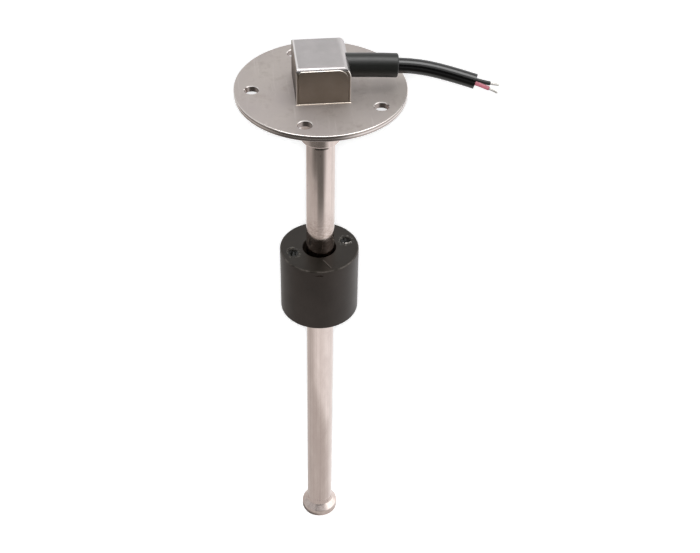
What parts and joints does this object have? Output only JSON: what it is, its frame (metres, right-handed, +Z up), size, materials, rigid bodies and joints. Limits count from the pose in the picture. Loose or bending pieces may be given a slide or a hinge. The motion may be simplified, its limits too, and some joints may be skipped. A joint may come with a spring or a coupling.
{
  "type": "tank level sender",
  "caption": "Flanged stainless tank level sender: a sealed reed-switch stem hangs under a bolted round flange, a black float slides along it, and a short cable leaves the head box.",
  "frame": {"origin": "centre of the flange's underside, where it seats on the tank", "axes": "+Z up along the stem's axis, away from the tank; +X the way the cable leaves the head"},
  "size_m": [0.1033, 0.068, 0.2678],
  "materials": {
    "flange_steel": "satin stainless",
    "head_steel": "satin stainless sheet",
    "stem_steel": "polished stainless",
    "float_foam": "matt closed-cell foam",
    "plug_compound": "rough",
    "magnet_metal": "plain",
    "boot_rubber": "satin rubber",
    "jacket_vinyl": "semi-gloss vinyl",
    "signal_vinyl": "satin vinyl",
    "ground_vinyl": "satin vinyl",
    "tinned_wire": "tinned strand",
    "potting_resin": "cast resin",
    "sleeve_film": "plain film",
    "board_laminate": "lacquered laminate",
    "reed_glass": "clear glass",
    "reed_metal": "plated",
    "resistor_chip": "plain"
  },
  "bodies": {
    "sender": {"flange_plate": "flange_steel", "neck_collar": "stem_steel", "stem_tube": "stem_steel", "end_plug": "stem_steel", "head_wrap": "head_steel", "head_front_plate": "head_steel", "head_rear_plate": "head_steel", "head_potting": "potting_resin", "strain_relief_boot": "boot_rubber", "cable_jacket": "jacket_vinyl", "signal_core": "signal_vinyl", "ground_core": "ground_vinyl", "tinned_core_ends": "tinned_wire", "signal_lead": "signal_vinyl", "ground_lead": "ground_vinyl", "board_sleeve": "sleeve_film", "sensor_board": "board_laminate", "reed_capsules": "reed_glass", "reed_leads": "reed_metal", "chain_resistors": "resistor_chip"},
    "float": {"float_body": "float_foam", "float_magnets": "magnet_metal", "magnet_plugs": "plug_compound"}
  },
  "joints": [
    {"name": "float_slide", "type": "slide", "parent": "sender", "child": "float", "axis": [0, 0, 1], "range_m": [-0.133, 0.0567]}
  ]
}
